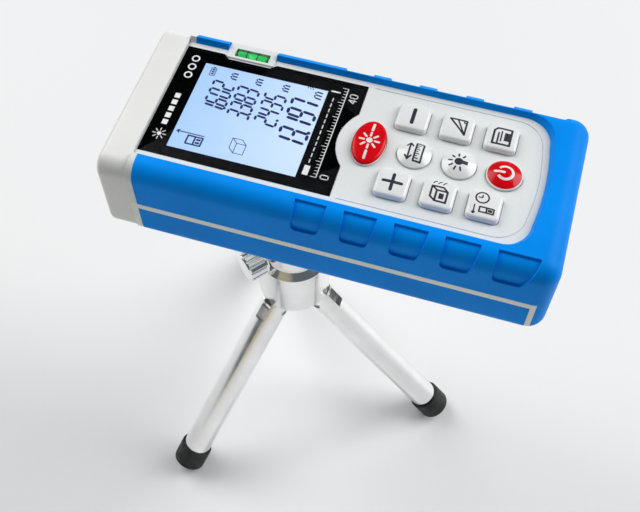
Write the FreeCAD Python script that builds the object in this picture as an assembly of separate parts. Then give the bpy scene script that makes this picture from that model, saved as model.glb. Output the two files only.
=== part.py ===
import FreeCAD, Part
import math
import os

# Laser distance meter standing on a pocket tripod.
# Frame: +Z up, origin on the floor under the middle of the meter, the laser end points along -X,
# the meter's left side is -Y. All sizes are in millimetres.
# The meter is drawn with x = 0 at the laser end and z = 0 on its front face.
# The tripod is drawn about its own upright axis, with z = 0 on the floor. place() puts both in the frame.

V = FreeCAD.Vector
UP = V(0, 0, 1)
ALONG_X = V(1, 0, 0)
ALONG_Y = V(0, 1, 0)

# Driving dimensions of the meter
LENGTH = 118.0
HALF_WIDTH = 25.6
MIDDLE_Y = -1.4              # the body is drawn a little to the left of the keypad's middle line
FACE_HEIGHT = 147.0          # front face above the floor
RIM = 1.8                    # the grip's rim stands this far above the front face
BACK = -26.2                 # back face
EDGE_R = 4.8
SPLIT = -12.0                # parting plane of the two housing shells
STRIPE = 1.9                 # height of the light stripe under the parting plane
SEAM = 8.5                   # joint between the laser end cap and the housings
GRIP_START = 10.2            # where the soft grip begins
GRIP_SIDE = 2.0              # soft grip thickness on the sides
GRIP_BACK = 1.0              # soft grip thickness where it wraps on to the back
GRIP_END = 2.5               # soft grip thickness at the keypad end
BARE_BACK = (-21.9, 21.4)    # the back is bare housing between these, across the meter
GRIP_BRIDGE = 13.2           # a strip across the back, up to here, joins the two sides of the grip
RIB_X = (113.3, 114.7)       # upright arm of the light stripe
WALL = 2.0
PANEL = 1.8                  # front panel thickness
PANEL_HALF = 20.1
PANEL_END = 109.6
PANEL_CORNER = 7.5
GROOVE_WIDTH = 0.2
CAP_GAP = 0.2
CAP_HALF = 25.2
POCKET_X = (                 # start, end at the bottom, end at the rim
    (52.0, 58.5, 60.0),
    (64.4, 71.0, 72.6),
    (76.9, 83.6, 85.3),
    (89.5, 96.3, 98.1),
    (102.3, 109.2, 112.4),
)
POCKET_INNER = (-22.6, 21.2)
POCKET_DEPTH = 0.7

# Display stack, front to back
LENS_HALF = 18.4
LENS_X = (8.7, 59.4)
LENS_TOP = 0.15
LENS_THICK = 1.2
MASK_THICK = 0.1
LENS_FIT = 0.1
WINDOW = (15.0, 49.4, 14.7)  # start, end and half width of the clear window
LCD_THICK = 2.2
BOARD_TOP = -6.2
BOARD_THICK = 1.2
BOARD_HALF = 16.3
BOARD_X = (11.0, 112.0)

# Keys: name, centre x, centre y
SQUARE_KEYS = (
    ("plus_key", 73.3, -10.9),
    ("minus_key", 73.3, 10.9),
    ("volume_key", 84.9, -10.9),
    ("triangle_key", 84.9, 10.9),
    ("reference_key", 96.4, -10.9),
    ("storage_key", 96.4, 10.9),
)
ROUND_KEYS = (
    ("unit_key", 76.3, 0.0),
    ("light_key", 87.8, 0.0),
)
CLEAR_KEY = ("clear_key", 99.3, 0.0)
MEASURE_KEY = ("measure_key", 64.5, 0.0)
SQUARE_HALF = 4.2
SQUARE_CORNER = 1.4
ROUND_R = {"round": 4.4, "large": 4.6}
OVAL_HALF = (4.3, 7.15)
KEY_RISE = 1.8
KEY_SHOULDER = 0.5           # the round keys' domes start here
KEY_EDGE = 0.85
KEY_FIT = 0.15
FLANGE = 0.7                 # how far the retaining flange reaches past the key
FLANGE_Z = (-2.7, -1.95)
POST_R = 1.6
KEY_TRAVEL = 0.8
MAT_THICK = 0.9
PAD_THICK = 0.1

# Spirit level
VIAL_X = (22.0, 31.2)
VIAL_Y = 19.7
VIAL_Z = -1.15
VIAL_R = 1.95
SADDLE_X = (19.7, 33.1)
SADDLE_TOP = 0.45

# Case screws
SCREW_X = (14.5, 58.0, 110.0)
SCREW_Y = (-19.2, 18.9)
BOSS_R = 2.5

# Battery bay: two AAA cells side by side
CELL_R = 5.25
CELL_LENGTH = 44.5
CELL_Y = 5.7
CELL_X = 64.0
CELL_Z = -19.2
BAY_X = (61.5, 111.0)
BAY_HALF = 11.7
BAY_TOP = -13.8
BAY_WALL = 1.2
DOOR_X = (59.575, 111.95)
DOOR_HALF = 12.95
DOOR_THICK = 1.45
HINGE_X = 60.3
HINGE_PIN_R = 0.5
DOOR_FIT = 0.15

# Optics
RECEIVER_Y = 6.2
LASER_Y = -12.4
OPTIC_Z = -14.5
LENS_R = 7.2
LASER_R = 3.0
CHASSIS_X = (4.6, 33.0)

# Tripod
TRIPOD_X = 43.0              # tripod axis, measured from the laser end
INSERT_R = 4.8
STUD_R = 3.1                 # quarter-inch camera thread, drawn smooth
BALL_R = 7.5
BALL_Z = 96.0
RUN_FIT = 0.05
SOCKET_R = 9.3
SOCKET_TOP = 100.6
HUB_R = 11.3
HUB_Z = (67.4, 86.0)
HUB_CHAMFER = 2.0
SPIGOT_Z = 80.0
KNOB_TURN = 230.0
KNOB_Z = 91.0
KNOB_R = 4.5
KNOB_REACH = (10.6, 17.3)
PLATE_Z = (116.1, 119.6)
PLATE_R = 14.0
PAD_R = 13.2
PIN_REACH = 9.0              # leg hinge pins, from the tripod axis
PIN_Z = 63.2
PIN_R = 1.0
LEG_R = 4.75
LEG_WALL = 0.8
LEG_TOP = -3.0               # leg tube's top end, measured down the leg from the pin
LEG_END = 71.0
LEG_TILT = 36.2              # open legs, from the upright
FOOT_R = 5.5
FOOT_LENGTH = (68.0, 76.0)
LUG_HALF = 1.5
SLOT_HALF = 1.65
SLOT_DEPTH = 5.5
LEGS = (("right", 0.0), ("front", 240.0), ("rear", 120.0))

FAR = 200.0                  # larger than any part, for half-space cuts


# ---------------------------------------------------------------- helpers

def box(x, y, z):
    """Box between two limits on each axis."""
    size = (x[1] - x[0], y[1] - y[0], z[1] - z[0])
    return Part.makeBox(size[0], size[1], size[2], V(x[0], y[0], z[0]))


def both(half):
    return (-half, half)


def rod(radius, start, end):
    """Cylinder between two points."""
    way = end - start
    return Part.makeCylinder(radius, way.Length, start, way)


def cone(start_radius, end_radius, start, end):
    way = end - start
    return Part.makeCone(start_radius, end_radius, way.Length, start, way)


def fuse(*shapes):
    whole = shapes[0]
    for shape in shapes[1:]:
        whole = whole.fuse(shape)
    return whole.removeSplitter()


def on_plane(edge, axis, value):
    return all(abs(getattr(v, axis) - value) < 1e-6 for v in edge.Vertexes)


def rounded_ring(centre, half, corner, z):
    """Closed wire of a rounded rectangle, with half sizes half = (x, y)."""
    edges = []
    last = None
    for number, (sx, sy) in enumerate(((1, 1), (-1, 1), (-1, -1), (1, -1))):
        middle = V(centre[0] + sx * (half[0] - corner), centre[1] + sy * (half[1] - corner), z)
        begin = math.radians(90 * number)
        circle = Part.Circle(middle, UP, corner)
        arc = Part.ArcOfCircle(circle, begin, begin + math.pi / 2).toShape()
        if last is not None:
            edges.append(Part.LineSegment(last, arc.firstVertex().Point).toShape())
        edges.append(arc)
        last = arc.lastVertex().Point
    edges.append(Part.LineSegment(last, edges[0].firstVertex().Point).toShape())
    return Part.Wire(edges)


def ellipse_ring(centre, half, z):
    """Closed wire of an ellipse whose longer half size lies along Y."""
    long_end = V(centre[0], centre[1] + half[1], z)
    short_end = V(centre[0] - half[0], centre[1], z)
    return Part.Wire([Part.Ellipse(long_end, short_end, V(centre[0], centre[1], z)).toShape()])


def raise_ring(ring, height):
    return Part.Face(ring).extrude(V(0, 0, height))


def revolve(points, centre=V(0, 0, 0)):
    """Solid of revolution about Z from a list of (radius, z) points."""
    ring = [V(r, 0, z) for r, z in points]
    face = Part.Face(Part.makePolygon(ring + ring[:1]))
    solid = face.revolve(V(0, 0, 0), UP, 360)
    solid.translate(centre)
    return solid


def below(z):
    return box(both(FAR), both(FAR), (-FAR, z))


def above(z):
    return box(both(FAR), both(FAR), (z, FAR))


# ---------------------------------------------------------------- meter outline

def across(half):
    """Limits along Y of something centred on the body."""
    return (MIDDLE_Y - half, MIDDLE_Y + half)


def round_block(x, half_y, z, radius, open_plane):
    """Block on the body's middle with every edge rounded, apart from those on the plane x = open_plane."""
    block = box(x, across(half_y), z)
    edges = [e for e in block.Edges if not on_plane(e, "X", open_plane)]
    return block.makeFillet(radius, edges)


def envelope():
    """Outer shape of the meter behind the laser end cap, soft grip included."""
    return round_block((SEAM, LENGTH), HALF_WIDTH, (BACK, RIM), EDGE_R, SEAM)


def core():
    """Outer shape of the housings under the soft grip."""
    ends = (SEAM, LENGTH - GRIP_END)
    return round_block(ends, HALF_WIDTH - GRIP_SIDE, (BACK + GRIP_BACK, 0), 2.0, SEAM)


def cavity():
    """Space inside both housings."""
    ends = (SEAM, LENGTH - GRIP_END - WALL)
    return round_block(ends, HALF_WIDTH - GRIP_SIDE - WALL, (BACK + PANEL, -PANEL), 1.5, SEAM)


def panel_ring(grow, z):
    """Edge of the bare front panel: straight sides, round corners and a slightly bowed end."""
    half = PANEL_HALF + grow
    start = SEAM - 2
    tip = PANEL_END + grow
    end = tip - 1.0
    side_end = end - PANEL_CORNER
    inner = half - PANEL_CORNER
    nook = PANEL_CORNER * (1 - math.sqrt(0.5))
    near_back = V(start, -half, z)
    near_front = V(side_end, -half, z)
    near_end = V(end, -inner, z)
    far_end = V(end, inner, z)
    far_front = V(side_end, half, z)
    far_back = V(start, half, z)
    edges = [
        Part.LineSegment(near_back, near_front),
        Part.Arc(near_front, V(end - nook, nook - half, z), near_end),
        Part.Arc(near_end, V(tip, 0, z), far_end),
        Part.Arc(far_end, V(end - nook, half - nook, z), far_front),
        Part.LineSegment(far_front, far_back),
        Part.LineSegment(far_back, near_back),
    ]
    return Part.Wire([edge.toShape() for edge in edges])


def panel_space():
    """Space over the bare front panel, with the rim of the soft grip sloping away from it."""
    return Part.makeLoft([panel_ring(0, 0), panel_ring(1.1, RIM + 0.6)], True, True)


def saddle():
    """Raised bridge of the front housing that carries the spirit level."""
    bridge = box(SADDLE_X, (17.2, FAR), (-PANEL, SADDLE_TOP))
    slope = box(SADDLE_X, (15.0, 17.4), (0.0, 2.0))
    slope.rotate(V(0, 17.2, 0), ALONG_X, -25)
    return bridge.common(envelope()).cut(slope)


# ---------------------------------------------------------------- keys

def key_ring(kind, x, y, grow, z):
    if kind == "square":
        half = SQUARE_HALF + grow
        return rounded_ring((x, y), (half, half), SQUARE_CORNER + grow, z)
    if kind == "oval":
        return ellipse_ring((x, y), (OVAL_HALF[0] + grow, OVAL_HALF[1] + grow), z)
    return Part.Wire([Part.makeCircle(ROUND_R[kind] + grow, V(x, y, z))])


def all_keys():
    keys = [(name, "square", x, y) for name, x, y in SQUARE_KEYS]
    keys += [(name, "round", x, y) for name, x, y in ROUND_KEYS]
    for kind, (name, x, y) in (("large", CLEAR_KEY), ("oval", MEASURE_KEY)):
        keys.append((name, kind, x, y))
    return keys


def key_cap(kind, x, y):
    """Upper part of a key: a plain dome if it is round, otherwise a cushion with a soft edge."""
    foot = FLANGE_Z[1]
    column = raise_ring(key_ring(kind, x, y, 0, foot), KEY_RISE - foot)
    reach = ROUND_R.get(kind, 7.0)
    sag = KEY_RISE - KEY_SHOULDER if kind in ROUND_R else 0.75
    dome_r = (reach * reach + sag * sag) / (2 * sag)
    cap = column.common(Part.makeSphere(dome_r, V(x, y, KEY_RISE - dome_r)))
    if kind in ROUND_R:
        return cap
    rim = [e for e in cap.Edges if min(v.Z for v in e.Vertexes) > 0]
    return cap.makeFillet(KEY_EDGE, rim)


def key(kind, x, y):
    """Key cap with a retaining flange under the panel and a post over its contact."""
    flange = raise_ring(key_ring(kind, x, y, FLANGE, FLANGE_Z[0]), FLANGE_Z[1] - FLANGE_Z[0])
    post_end = BOARD_TOP + PAD_THICK + KEY_TRAVEL + 0.05
    post = rod(POST_R, V(x, y, post_end), V(x, y, FLANGE_Z[0]))
    return fuse(key_cap(kind, x, y), flange, post)


def key_holes():
    """Holes in the front panel that the keys slide in."""
    tools = []
    for _, kind, x, y in all_keys():
        tools.append(raise_ring(key_ring(kind, x, y, KEY_FIT, -PANEL - 1), PANEL + 2))
    return fuse(*tools)


def keypad_mat():
    """Silicone sheet on the board, with a collar round each key's post."""
    mat_z = BOARD_TOP + 0.02
    sheet = raise_ring(rounded_ring((83.0, 0), (24.0, BOARD_HALF - 0.4), 2.0, mat_z), MAT_THICK)
    for _, _, x, y in all_keys():
        sheet = sheet.fuse(rod(POST_R + 1.0, V(x, y, mat_z), V(x, y, mat_z + MAT_THICK + 0.9)))
    for _, _, x, y in all_keys():
        sheet = sheet.cut(rod(POST_R + 0.3, V(x, y, BOARD_TOP - 1), V(x, y, 0)))
    return sheet.removeSplitter()


# ---------------------------------------------------------------- display

def lens_ring(grow, z):
    """Display lens outline, with a notch for the spirit level and an arc round the measure key."""
    x0 = LENS_X[0] - grow
    x1 = LENS_X[1] + grow
    y = LENS_HALF + grow
    notch = 1.4
    arc_half = 8.8 - grow
    arc_depth = 3.3
    points = [V(x0, -y, z), V(x1, -y, z), V(x1, -arc_half, z)]
    far = [V(x1, arc_half, z), V(x1, y, z), V(34.0 - grow, y, z), V(32.4 - grow, y - notch, z)]
    far += [V(20.6 + grow, y - notch, z), V(19.0 + grow, y, z), V(x0, y, z), V(x0, -y, z)]
    edges = [Part.LineSegment(a, b).toShape() for a, b in zip(points, points[1:])]
    edges.append(Part.Arc(points[-1], V(x1 - arc_depth, 0, z), far[0]).toShape())
    edges += [Part.LineSegment(a, b).toShape() for a, b in zip(far, far[1:])]
    return Part.Wire(edges)


def display_lens():
    return raise_ring(lens_ring(0, LENS_TOP - LENS_THICK), LENS_THICK)


def window_block(grow, z):
    return box((WINDOW[0] - grow, WINDOW[1] + grow), both(WINDOW[2] + grow), z)


def lens_mask():
    """Black printed film behind the lens, open over the display."""
    top = LENS_TOP - LENS_THICK
    film = raise_ring(lens_ring(0, top - MASK_THICK), MASK_THICK)
    return film.cut(window_block(0, (top - 1, top + 1)))


def lcd_z():
    top = LENS_TOP - LENS_THICK - MASK_THICK - 0.05
    return (top - LCD_THICK, top)


def lcd_panel():
    return window_block(0.6, lcd_z())


def backlight():
    """Light guide behind the liquid crystal panel, with the connector strip along one edge."""
    top = lcd_z()[0] - 0.02
    guide = window_block(1.4, (BOARD_TOP + 0.02, top))
    return guide.cut(window_block(-1.5, (top - 0.4, top + 1)).cut(window_block(-2.5, (top - 1, top + 1))))


def main_board():
    """Main circuit board with its screw holes and the flat contacts under the keys."""
    board = box(BOARD_X, both(BOARD_HALF), (BOARD_TOP - BOARD_THICK, BOARD_TOP))
    for x, y in board_screw_places():
        board = board.cut(rod(1.15, V(x, y, BOARD_TOP - 3), V(x, y, BOARD_TOP + 1)))
    for _, _, x, y in all_keys():
        board = board.fuse(rod(POST_R - 0.1, V(x, y, BOARD_TOP), V(x, y, BOARD_TOP + PAD_THICK)))
    return board.removeSplitter()


def board_screw_places():
    return ((55.0, -13.6), (55.0, 13.6))


def board_screws():
    """Two screws that hold the board to the front housing."""
    screws = []
    for x, y in board_screw_places():
        under = BOARD_TOP - BOARD_THICK
        head = rod(1.8, V(x, y, under - 1.3), V(x, y, under - 0.02))
        shank = rod(0.95, V(x, y, under - 0.5), V(x, y, -2.8))
        screws.append(fuse(head, shank))
    return Part.makeCompound(screws)


def shield_can():
    """Metal screening box over the measuring circuit, on the back of the board."""
    top = BOARD_TOP - BOARD_THICK - 0.02
    can = box((36.0, 52.0), both(9.0), (top - 2.6, top))
    return can.cut(box((36.4, 51.6), both(8.6), (top - 2.2, top + 1)))


def buzzer():
    top = BOARD_TOP - BOARD_THICK - 0.02
    centre = V(98.0, 0, top)
    body = rod(5.6, centre - V(0, 0, 3.2), centre)
    return body.cut(rod(0.8, centre - V(0, 0, 4.0), centre - V(0, 0, 2.2)))


# ---------------------------------------------------------------- housings

def spigot():
    """Thin ring of the housings that the laser end cap slides over."""
    outer = round_block((SEAM - 2, SEAM + 0.5), CAP_HALF - 2.15, (-23.75, -1.25), 2.2, SEAM + 0.5)
    inner = box((SEAM - 3, SEAM + 1), across(CAP_HALF - 3.6), (-22.5, -2.5))
    return outer.cut(inner)


def screw_places():
    return [(x, y) for x in SCREW_X for y in SCREW_Y]


def front_housing():
    """Front shell: panel, key holes, display seat, screw bosses and the spirit level's saddle."""
    shell = fuse(core(), envelope().common(box((SEAM, GRIP_START), both(FAR), both(FAR))), saddle())
    shell = shell.cut(below(SPLIT)).cut(panel_space().cut(saddle()))
    shell = shell.cut(cavity())
    shell = fuse(shell, spigot().cut(below(SPLIT)), vial_cradle())
    for x, y in screw_places():
        shell = shell.fuse(rod(BOSS_R, V(x, y, SPLIT), V(x, y, -1.0)))
    for x, y in board_screw_places():
        shell = shell.fuse(rod(1.9, V(x, y, BOARD_TOP + 0.02), V(x, y, -1.5)))
    shell = shell.cut(raise_ring(lens_ring(LENS_FIT, lcd_z()[1]), 3.0))
    shell = shell.cut(window_block(0.8, (-PANEL - 2, 1)))
    shell = shell.cut(key_holes())
    for x, y in screw_places():
        shell = shell.cut(rod(0.95, V(x, y, SPLIT - 1), V(x, y, -2.9)))
    for x, y in board_screw_places():
        shell = shell.cut(rod(1.0, V(x, y, BOARD_TOP - 1), V(x, y, -2.6)))
    shell = shell.cut(vial_seat()).cut(keypad_groove())
    return shell.removeSplitter()


def keypad_groove():
    """Fine line pressed into the panel just inside its edge, round the keypad."""
    outer = raise_ring(panel_ring(-1.5, -0.15), 1)
    inner = raise_ring(panel_ring(-1.5 - GROOVE_WIDTH, -0.5), 2)
    return outer.cut(inner).cut(box((0, 61.0), both(FAR), both(FAR)))


def rear_outer():
    """Outer shape of the rear shell: core, light stripe and bare back."""
    hull = envelope()
    stripe = hull.common(box((SEAM, RIB_X[1]), both(FAR), (SPLIT - STRIPE, SPLIT)))
    rib = hull.common(box(RIB_X, both(FAR), (-FAR, SPLIT)))
    collar = hull.common(box((SEAM, GRIP_START), both(FAR), (-FAR, SPLIT)))
    back = hull.common(box((GRIP_BRIDGE, RIB_X[1]), BARE_BACK, (-FAR, BACK + GRIP_BACK + 2)))
    return fuse(core().cut(above(SPLIT)), stripe, rib, collar, back)


def rear_housing():
    """Rear shell: battery bay, tripod boss and screw bosses."""
    shell = rear_outer().cut(cavity())
    shell = shell.fuse(spigot().cut(above(SPLIT)))
    floor = BACK + PANEL
    bay_x = (BAY_X[0] - BAY_WALL, BAY_X[1] + BAY_WALL)
    shell = shell.fuse(box(bay_x, both(BAY_HALF + BAY_WALL), (floor - 0.5, BAY_TOP + 1.0)))
    for x, y in screw_places():
        shell = shell.fuse(rod(BOSS_R, V(x, y, floor - 0.5), V(x, y, SPLIT)))
    shell = shell.fuse(rod(7.0, V(TRIPOD_X, 0, floor - 0.5), V(TRIPOD_X, 0, BACK + 10.2)))
    for x, y in chassis_screw_places():
        shell = shell.fuse(rod(2.2, V(x, y, floor - 0.5), V(x, y, chassis_floor() - 0.05)))
    shell = shell.cut(box(BAY_X, both(BAY_HALF), (-FAR, BAY_TOP)))
    door_x = (DOOR_X[0] - DOOR_FIT, DOOR_X[1] + DOOR_FIT)
    shell = shell.cut(box(door_x, both(DOOR_HALF + DOOR_FIT), (-FAR, BACK + DOOR_THICK + 0.1)))
    hinge_z = BACK + DOOR_THICK / 2
    shell = shell.cut(rod(HINGE_PIN_R + 0.06, V(HINGE_X, -14.4, hinge_z), V(HINGE_X, 14.4, hinge_z)))
    for x, y in screw_places():
        shell = shell.cut(rod(1.2, V(x, y, BACK - 1), V(x, y, SPLIT + 1)))
        shell = shell.cut(rod(2.2, V(x, y, BACK - 1), V(x, y, -20.0)))
    shell = shell.cut(rod(INSERT_R + 0.02, V(TRIPOD_X, 0, BACK - 1), V(TRIPOD_X, 0, BACK + 9.02)))
    for x, y in chassis_screw_places():
        shell = shell.cut(rod(0.85, V(x, y, floor + 0.3), V(x, y, 0)))
    for x in (BAY_X[0] + 0.55, BAY_X[1] - 0.55):
        for y in both(CELL_Y):
            shell = shell.cut(box((x - 0.4, x + 0.4), (y - 1.1, y + 1.1), (BAY_TOP - 0.5, BAY_TOP + 2)))
    return shell.removeSplitter()


def case_screws():
    """Six screws that draw the two shells together from the back."""
    screws = []
    for x, y in screw_places():
        head = rod(1.9, V(x, y, -21.6), V(x, y, -20.02))
        shank = rod(0.9, V(x, y, -20.5), V(x, y, -4.0))
        slot = box((x - 1.2, x + 1.2), (y - 0.25, y + 0.25), (-22.0, -21.0))
        cross = box((x - 0.25, x + 0.25), (y - 1.2, y + 1.2), (-22.0, -21.0))
        screws.append(fuse(head, shank).cut(slot).cut(cross))
    return Part.makeCompound(screws)


def laser_end_cap():
    """Light end cap with the opening for the optics window."""
    block = box((0, SEAM - CAP_GAP), across(CAP_HALF), (-25.9, 0.9))
    long_edges = [e for e in block.Edges if abs(e.Vertexes[0].X - e.Vertexes[1].X) > 1]
    block = block.makeFillet(4.4, long_edges)
    front_edges = [e for e in block.Edges if on_plane(e, "X", 0)]
    block = block.makeFillet(1.8, front_edges)
    hollow = round_block((2.0, SEAM + 1), CAP_HALF - 2, (-23.9, -1.1), 2.3, SEAM + 1)
    block = block.cut(hollow)
    block = block.cut(window_prism(0.1, (-1, 1.3)))
    return block.cut(window_prism(-1.3, (-1, 4)))


def window_prism(grow, x):
    """Rounded rectangle across the laser end, as a prism along X."""
    ring = rounded_ring((OPTIC_Z, MIDDLE_Y), (8.8 + grow, 16.8 + grow), 3.0, 0)
    prism = Part.Face(ring).extrude(V(0, 0, x[1] - x[0]))
    prism.rotate(V(0, 0, 0), ALONG_Y, 90)
    prism = prism.mirror(V(0, 0, 0), V(0, 0, 1))
    prism.translate(V(x[0], 0, 0))
    return prism


def optics_window():
    """Clear filter plate in front of the laser and the receiver lens."""
    return window_prism(0, (0.35, 1.28))


# ---------------------------------------------------------------- soft grip

def grip_shell():
    return envelope().cut(core())


def pocket(x, y):
    """Outline of one finger pocket, over the edge and part of the way down one side."""
    start, low_end, rim_end = x
    low_z = -5.6
    corners = [(start, low_z), (low_end, low_z), (rim_end, 1.2), (rim_end, FAR), (start, FAR)]
    ring = [V(corner_x, y[0], corner_z) for corner_x, corner_z in corners]
    block = Part.Face(Part.makePolygon(ring + ring[:1])).extrude(V(0, y[1] - y[0], 0))
    floor_edges = [e for e in block.Edges if on_plane(e, "Z", low_z)]
    low = [e for e in floor_edges if abs(e.Vertexes[0].Y - e.Vertexes[1].Y) > 1]
    return block.makeFillet(1.3, low)


def pockets():
    """Five shallow finger pockets on each side of the grip."""
    sides = ((-FAR, POCKET_INNER[0]), (POCKET_INNER[1], FAR))
    outlines = fuse(*[pocket(x, y) for x in POCKET_X for y in sides])
    ends = (SEAM, LENGTH - POCKET_DEPTH)
    z = (BACK, RIM - POCKET_DEPTH)
    return outlines.cut(round_block(ends, HALF_WIDTH - POCKET_DEPTH, z, EDGE_R - POCKET_DEPTH, SEAM))


def upper_grip():
    """Soft grip on the front shell, down to the stripe, with the skirt over the keypad end."""
    skin = grip_shell().cut(panel_space())
    skin = skin.cut(box((0, GRIP_START), both(FAR), both(FAR)))
    skin = skin.cut(box((0, RIB_X[1]), both(FAR), (-FAR, SPLIT)))
    skin = skin.cut(box((SADDLE_X[0] - 0.15, SADDLE_X[1] + 0.15), (15.0, FAR), (-PANEL - 0.1, FAR)))
    return skin.cut(pockets()).removeSplitter()


def lower_grip():
    """Soft grip on both sides of the rear shell, joined by a strip across the back."""
    skin = grip_shell().common(box((GRIP_START, RIB_X[0]), both(FAR), (-FAR, SPLIT - STRIPE)))
    return skin.cut(rear_outer()).removeSplitter()


# ---------------------------------------------------------------- spirit level

def vial_cradle():
    """Block under the saddle that the vial lies in."""
    x = (VIAL_X[0] - 1, VIAL_X[1] + 1)
    return box(x, (VIAL_Y - VIAL_R - 0.4, 21.5), (VIAL_Z - VIAL_R - 0.8, -1.0))


def vial_seat():
    """Trough for the vial, open at the top of the saddle."""
    low = VIAL_X[0] - 0.1
    high = VIAL_X[1] + 0.1
    trough = rod(VIAL_R + 0.05, V(low, VIAL_Y, VIAL_Z), V(high, VIAL_Y, VIAL_Z))
    return trough.fuse(box((low, high), (VIAL_Y - 1.4, VIAL_Y + 1.4), (VIAL_Z, FAR)))


def vial():
    """Clear tube with closed ends."""
    start = V(VIAL_X[0], VIAL_Y, VIAL_Z)
    end = V(VIAL_X[1], VIAL_Y, VIAL_Z)
    bore = rod(VIAL_R - 0.45, start + ALONG_X * 0.6, end - ALONG_X * 0.6)
    return rod(VIAL_R, start, end).cut(bore)


def vial_liquid():
    """Coloured liquid with the hollow of its bubble at the top."""
    radius = VIAL_R - 0.47
    ends = (VIAL_X[0] + 0.62, VIAL_X[1] - 0.62)
    liquid = rod(radius, V(ends[0], VIAL_Y, VIAL_Z), V(ends[1], VIAL_Y, VIAL_Z))
    middle = V(sum(ends) / 2, VIAL_Y, VIAL_Z + radius)
    bubble = Part.makeSphere(0.9, middle)
    return liquid.cut(bubble)


# ---------------------------------------------------------------- optics

def chassis_floor():
    return -22.0


def chassis_screw_places():
    return ((24.0, -5.2), (29.0, -13.0))


def optics_chassis():
    """Moulded block that holds the laser and the receiver lens in line."""
    y = both(16.3)
    block = box(CHASSIS_X, y, (chassis_floor(), -9.0))
    nose_x = (CHASSIS_X[0], CHASSIS_X[0] + 4.4)
    block = block.fuse(box(nose_x, y, (chassis_floor(), -5.5)))
    seat = rod(LENS_R + 0.05, V(0, RECEIVER_Y, OPTIC_Z), V(CHASSIS_X[0] + 3.2, RECEIVER_Y, OPTIC_Z))
    wide = V(CHASSIS_X[0] + 3.0, RECEIVER_Y, OPTIC_Z)
    narrow = V(CHASSIS_X[1] + 0.1, RECEIVER_Y, OPTIC_Z)
    block = block.cut(seat).cut(cone(6.4, 2.6, wide, narrow))
    block = block.cut(rod(LASER_R + 0.05, V(0, LASER_Y, OPTIC_Z), V(22.2, LASER_Y, OPTIC_Z)))
    for x, screw_y in chassis_screw_places():
        block = block.cut(rod(1.1, V(x, screw_y, -30), V(x, screw_y, 0)))
    return block.removeSplitter()


def chassis_screws():
    screws = []
    for x, y in chassis_screw_places():
        head = rod(1.8, V(x, y, -8.98), V(x, y, -7.9))
        shank = rod(0.8, V(x, y, -24.0), V(x, y, -8.5))
        screws.append(fuse(head, shank))
    return Part.makeCompound(screws)


def receiver_lens():
    """Plano-convex glass lens that gathers the returning light."""
    back = V(CHASSIS_X[0] + 3.15, RECEIVER_Y, OPTIC_Z)
    front = V(2.1, RECEIVER_Y, OPTIC_Z)
    blank = rod(LENS_R, front, back)
    sag = 2.2
    radius = (LENS_R * LENS_R + sag * sag) / (2 * sag)
    return blank.common(Part.makeSphere(radius, front + V(radius, 0, 0)))


def laser_module():
    """Brass barrel of the laser diode, with a recess for the beam at the front."""
    front = V(3.0, LASER_Y, OPTIC_Z)
    barrel = rod(LASER_R, front, V(18.0, LASER_Y, OPTIC_Z))
    barrel = barrel.fuse(rod(2.4, V(17.5, LASER_Y, OPTIC_Z), V(21.5, LASER_Y, OPTIC_Z)))
    return barrel.cut(rod(1.9, V(2, LASER_Y, OPTIC_Z), V(4.2, LASER_Y, OPTIC_Z)))


def sensor_board():
    """Small upright board behind the optics."""
    return box((CHASSIS_X[1] + 0.1, CHASSIS_X[1] + 1.1), (-2.0, 16.0), (-21.5, -9.0))


def photodiode():
    start = V(CHASSIS_X[1] - 2.2, RECEIVER_Y, OPTIC_Z)
    return rod(2.3, start, V(CHASSIS_X[1] + 0.08, RECEIVER_Y, OPTIC_Z))


def sensor_ribbon():
    """Flat cable from the sensor board up to the main board."""
    x = CHASSIS_X[1] + 1.12
    upright = box((x, x + 0.3), (9.0, 14.0), (-16.0, -7.45))
    return upright.fuse(box((x, x + 1.4), (9.0, 14.0), (-7.75, -7.45)))


# ---------------------------------------------------------------- power

def cell(y, nub_side):
    """One AAA cell; nub_side is +1 where the raised contact points along +X."""
    nub = 0.9
    start = CELL_X if nub_side > 0 else CELL_X + nub
    body = rod(CELL_R, V(start, y, CELL_Z), V(start + CELL_LENGTH - nub, y, CELL_Z))
    body = body.makeFillet(0.5, body.Edges[:1] + body.Edges[2:])
    base = start + CELL_LENGTH - nub if nub_side > 0 else start
    tip = V(base + nub_side * nub, y, CELL_Z)
    return body.fuse(rod(1.7, V(base - nub_side * 0.5, y, CELL_Z), tip)).removeSplitter()


def contact(wall_x, way, y):
    """Sheet contact: flat plate, sprung leaf towards the cell and a tab up to the main board."""
    sheet = 0.3
    plate = (wall_x + way * 0.4, wall_x + way * (0.4 + sheet))
    ends = (min(plate), max(plate))
    flat = box(ends, (y - 4.0, y + 4.0), (-23.6, BAY_TOP - 0.2))
    tab = box(ends, (y - 0.8, y + 0.8), (BAY_TOP - 1.0, BOARD_TOP - BOARD_THICK - 0.05))
    root = plate[1]
    tip = CELL_X - 0.06 if way > 0 else CELL_X + CELL_LENGTH + 0.06
    outline = [
        V(root - way * 0.1, y - 2.0, -22.8),
        V(tip, y - 2.0, CELL_Z - 0.4),
        V(tip, y - 2.0, CELL_Z + 0.4),
        V(root - way * 0.1, y - 2.0, -16.0),
        V(root - way * 0.1, y - 2.0, -16.5),
        V(tip - way * sheet, y - 2.0, CELL_Z + 0.3),
        V(tip - way * sheet, y - 2.0, CELL_Z - 0.3),
        V(root - way * 0.1, y - 2.0, -22.3),
    ]
    leaf = Part.Face(Part.makePolygon(outline + outline[:1])).extrude(V(0, 4.0, 0))
    return fuse(flat, tab, leaf)


def contacts(wall_x, way):
    return Part.makeCompound([contact(wall_x, way, y) for y in both(CELL_Y)])


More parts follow.
